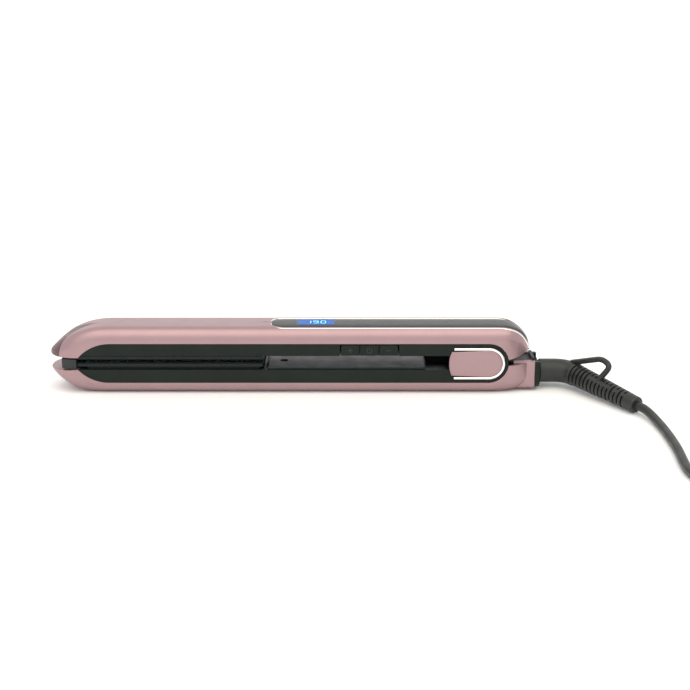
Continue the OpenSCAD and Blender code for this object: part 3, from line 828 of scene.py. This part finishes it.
def trim_shape():
    """A rounded bead round the panel, drawn in at the tail."""
    side = [crown_point(x, max(0.05, panel_half(x)) + BEAD_OUT, BEAD_LIFT) for x in panel_stations()]
    tip = Vector((side[0].x - 0.75, 0, side[0].z))
    far = side[1:]
    near = [Vector((p.x, -p.y, p.z)) for p in far]
    line = near[::-1] + [tip] + far
    return loft(sweep(line, lambda k: [(u * BEAD_WIDE, v * BEAD_HIGH) for u, v in circle(1, 12)]))


piece("panel_bead", trim_shape(), "upper_arm", "chrome_trim", ["panel_trim"])

# The bars that each digit lights, named as on any seven-segment display
SEGMENTS = {"1": "bc", "9": "abcdfg", "0": "abcdef"}
DIGIT_W, DIGIT_H, DIGIT_PITCH = 2.6, 5.2, 4.4
BAR_HALF = 0.32


def bar(x, y, dx, dy, z):
    """A flat six-sided segment from (x, y), as a lit bar in the display."""
    t = BAR_HALF
    along = Vector((dx, dy, 0)).normalized()
    across = Vector((-along.y, along.x, 0))
    a, b = Vector((x, y, z)), Vector((x + dx, y + dy, z))
    low = [a + along * 0.15, a + along * 0.5 + across * t, b - along * 0.5 + across * t, b - along * 0.15,
           b - along * 0.5 - across * t, a + along * 0.5 - across * t]
    return loft([low, [p + Vector((0, 0, 0.05)) for p in low]])


def digits(text, x, y, z):
    """A row of seven-segment digits that starts at (x, y)."""
    w, h = DIGIT_W, DIGIT_H
    runs = {"a": (0, h, w, 0), "g": (0, h / 2, w, 0), "d": (0, 0, w, 0), "f": (0, h / 2, 0, h / 2),
            "b": (w, h / 2, 0, h / 2), "e": (0, 0, 0, h / 2), "c": (w, 0, 0, h / 2)}
    shapes = []
    for k, digit in enumerate(text):
        for segment in SEGMENTS[digit]:
            ox, oy, dx, dy = runs[segment]
            shapes.append(bar(x + DIGIT_PITCH * k + ox, y + oy, dx, dy, z))
    return join(*shapes)


def window_plate(x0, x1, half, z, thick, corner):
    """A thin plate with round corners."""
    outline = soft_box(x1 - x0, 2 * half, corner, 5)
    low = [Vector(((x0 + x1) / 2 + u, v, z)) for u, v in outline]
    return loft([low, [p + Vector((0, 0, thick)) for p in low]])


display_low, display_high = cad("display_module")
display_middle = (display_low.x + display_high.x) / 2
piece("display_window",
      window_plate(display_low.x + 0.6, display_high.x - 0.6, 5.5, BODY_H - 0.17, 0.05, 0.8),
      "upper_arm", "display")
lit = piece("display_digits", digits("190", display_middle - 5.7, -2.6, BODY_H - 0.1), "upper_arm",
            "display")
lit.data.materials[0] = MATERIAL["display_lit"]

# ---- hinge covers ----


COVER_STEPS = 20
COVER_FRONT_R, COVER_FRONT_BACK = 18.2, 5.2
# (share of the outline, height off the side) from the foot to the crown of a cover
COVER_DOME = ((1, 0), (1, 0.95), (0.99, 1.15), (0.97, 1.28), (0.9, 1.38), (0.7, 1.46), (0.35, 1.5),
              (0.05, 1.5))
BAND_OUT, BAND_L = 0.82, 20.4


def cover_line():
    """Side outline of a hinge cover: round at the hinge and bulging at the front."""
    r = COVER_R
    line = []
    for i in range(COVER_STEPS + 1):
        a = math.radians(90 - 180 * i / COVER_STEPS)
        line.append((HINGE_X + r * math.cos(a), HINGE_Z + r * math.sin(a)))
    for i in range(1, COVER_STEPS):
        z = -r + 2 * r * i / COVER_STEPS
        line.append((HINGE_X - COVER_FRONT_BACK - math.sqrt(COVER_FRONT_R ** 2 - z * z), HINGE_Z + z))
    return line


def cover_shape(s):
    """A shallow dome over the hinge, on the side s."""
    line = cover_line()
    cx = sum(p[0] for p in line) / len(line)
    rings = []
    for share, rise in COVER_DOME:
        rings.append([Vector((cx + (x - cx) * share, s * (STRIP_Y + rise),
                              HINGE_Z + (z - HINGE_Z) * share)) for x, z in line])
    return loft(rings)


def cover_trim_shape(s):
    """The bright band along the cover's top, round the hinge and back along its underside."""
    r = COVER_R + BAND_OUT
    front = HINGE_X - BAND_L
    line = [Vector((front + i / 8 * (HINGE_X - front), 0, HINGE_Z + r)) for i in range(8)]
    line += [Vector((HINGE_X + r * math.sin(a), 0, HINGE_Z + r * math.cos(a)))
             for a in [i / 24 * math.pi for i in range(25)]]
    line += [Vector((HINGE_X + (i + 1) / 8 * (front - HINGE_X), 0, HINGE_Z - r)) for i in range(8)]
    line = [p + Vector((0, s * (STRIP_Y + 0.6), 0)) for p in line]
    return loft(sweep(line, lambda k: soft_box(1.55, 1.3, 0.5, 3), side=Vector((0, 1, 0))))


for side, s in (("near", -1), ("far", 1)):
    piece("hinge_cap_" + side, cover_shape(s), "lower_arm", "satin_pink", ["hinge_cover_" + side])
    piece("hinge_band_" + side, cover_trim_shape(s), "lower_arm", "chrome_trim", ["hinge_trim_" + side])

# ---- buttons ----


KEY_BACK_Y = -13.5


def button_shape(node, ends_left, ends_right):
    """A flat key with the top corner rounded where it ends the row."""
    low, high = cad(node)
    x0, x1, z0, z1 = low.x, high.x, low.z, high.z
    line = [(x0, z0)]
    for is_end, x, way in ((ends_left, x0, 1), (ends_right, x1, -1)):
        r = 1.3 if is_end else 0.15
        arc = [(x + way * (r - r * math.cos(a)), z1 - r + r * math.sin(a)) for a in quarter_turn(6)]
        line += arc if way == 1 else arc[::-1]
    line.append((x1, z0))
    cx, cz = (x0 + x1) / 2, (z0 + z1) / 2
    rings = []
    for inset, y in ((0, KEY_BACK_Y), (0, -STRIP_Y + 0.18), (0.18, -STRIP_Y)):
        rings.append([Vector((x + math.copysign(inset, cx - x), y, z + math.copysign(inset, cz - z)))
                      for x, z in line])
    return loft(rings)


MARK_R = 0.17
MARK_HALF = 1.4
POWER_R = 1.5


def mark(points):
    """A thin raised line on a button's face."""
    line = [Vector((x, -STRIP_Y - 0.02, z)) for x, z in points]
    return loft(sweep(line, lambda k: [(u * MARK_R, v * MARK_R * 0.8) for u, v in circle(1, 8)],
                      side=Vector((0, 1, 0))))


def symbol(kind, x, z):
    """The power, plus or minus sign centred on (x, z)."""
    if kind == "power":
        angles = [math.radians(35 + 290 * i / 20) for i in range(21)]
        arc = [(x + POWER_R * math.sin(a), z + POWER_R * math.cos(a)) for a in angles]
        return join(mark(arc), mark([(x, z + 0.4), (x, z + 1.9)]))
    line = mark([(x - MARK_HALF, z), (x + MARK_HALF, z)])
    return join(line, mark([(x, z - MARK_HALF), (x, z + MARK_HALF)])) if kind == "plus" else line


for kind, body in (("power", "power_key"), ("plus", "plus_key"), ("minus", "minus_key")):
    node = kind + "_button"
    low, high = cad(node)
    piece(kind + "_key", button_shape(node, kind == "plus", kind == "minus"), body, "black_plastic",
          [node])
    piece(kind + "_symbol", symbol(kind, (low.x + high.x) / 2, (low.z + high.z) / 2), body,
          "grey_plastic")

# ---- rounded edges on the CAD parts that stay ----

for name, width in (("lower_nose_block", 0.5), ("lower_handle_cover", 0.4),
                    ("upper_handle_cover", 0.3), ("lower_plate", 0.35), ("upper_plate", 0.35),
                    ("lock_slider", 0.3), ("cord_bushing", 0.3), ("lower_cover_screw", 0.1),
                    ("upper_cover_screws", 0.1)):
    soften(NODES[name], width)

# ---- leaf springs, each given a mesh of its own ----

for arm, wall in (("lower", 0), ("upper", 1)):
    node = arm + "_plate_springs"
    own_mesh(NODES[node])

# ---- floor and light ----


def make_floor():
    """A flat sheet that turns up in a wide curve behind, so no horizon shows."""
    reach, turn_at, radius, height = 3000, 1200, 900, 2600
    line = [(-reach, 0), (-600, 0), (0, 0), (600, 0)]
    line += [(turn_at + radius * math.sin(a), radius * (1 - math.cos(a))) for a in quarter_turn(24)]
    line.append((turn_at + radius, height))
    verts = [Vector((x, y, z)) * MM for y, z in line for x in (-reach, reach)]
    mesh = bpy.data.meshes.new("floor")
    mesh.from_pydata(verts, [], [(2 * k, 2 * k + 1, 2 * k + 3, 2 * k + 2) for k in range(len(line) - 1)])
    mesh.polygons.foreach_set("use_smooth", [True] * len(mesh.polygons))
    floor = bpy.data.objects.new("floor", mesh)
    floor.location.z = -0.02 * MM
    mesh.materials.append(material("floor_paper", (0.96, 0.96, 0.965), 0.9, vary=0.01, patch=3, bump=0.02,
                                   grain=600, specular=0.1))
    bpy.context.scene.collection.objects.link(floor)


def softbox(name, at, size, power, colour):
    """A rectangular light in metres and watts, aimed at the iron."""
    light = bpy.data.lights.new(name, "AREA")
    light.shape = "RECTANGLE"
    light.size, light.size_y = size
    light.energy = power
    light.color = colour
    lamp = bpy.data.objects.new(name, light)
    lamp.location = at
    lamp.rotation_euler = (Vector((0, 0, 0.03)) - Vector(at)).to_track_quat("-Z", "Y").to_euler()
    bpy.context.scene.collection.objects.link(lamp)


make_floor()
softbox("overhead", (0.05, -0.4, 1.05), (1.6, 1.1), 7, (1, 0.94, 0.76))
softbox("front", (-0.1, -1.15, 0.6), (1.8, 0.7), 1.4, (1, 0.93, 0.99))
softbox("back", (0.1, 0.9, 0.6), (1.6, 0.4), 0.4, (1, 0.92, 0.86))
world = bpy.data.worlds.new("studio")
world.use_nodes = True
world.node_tree.nodes["Background"].inputs["Color"].default_value = (1, 1, 1, 1)
world.node_tree.nodes["Background"].inputs["Strength"].default_value = 1.0
bpy.context.scene.world = world
bpy.context.scene.view_settings.view_transform = "Standard"
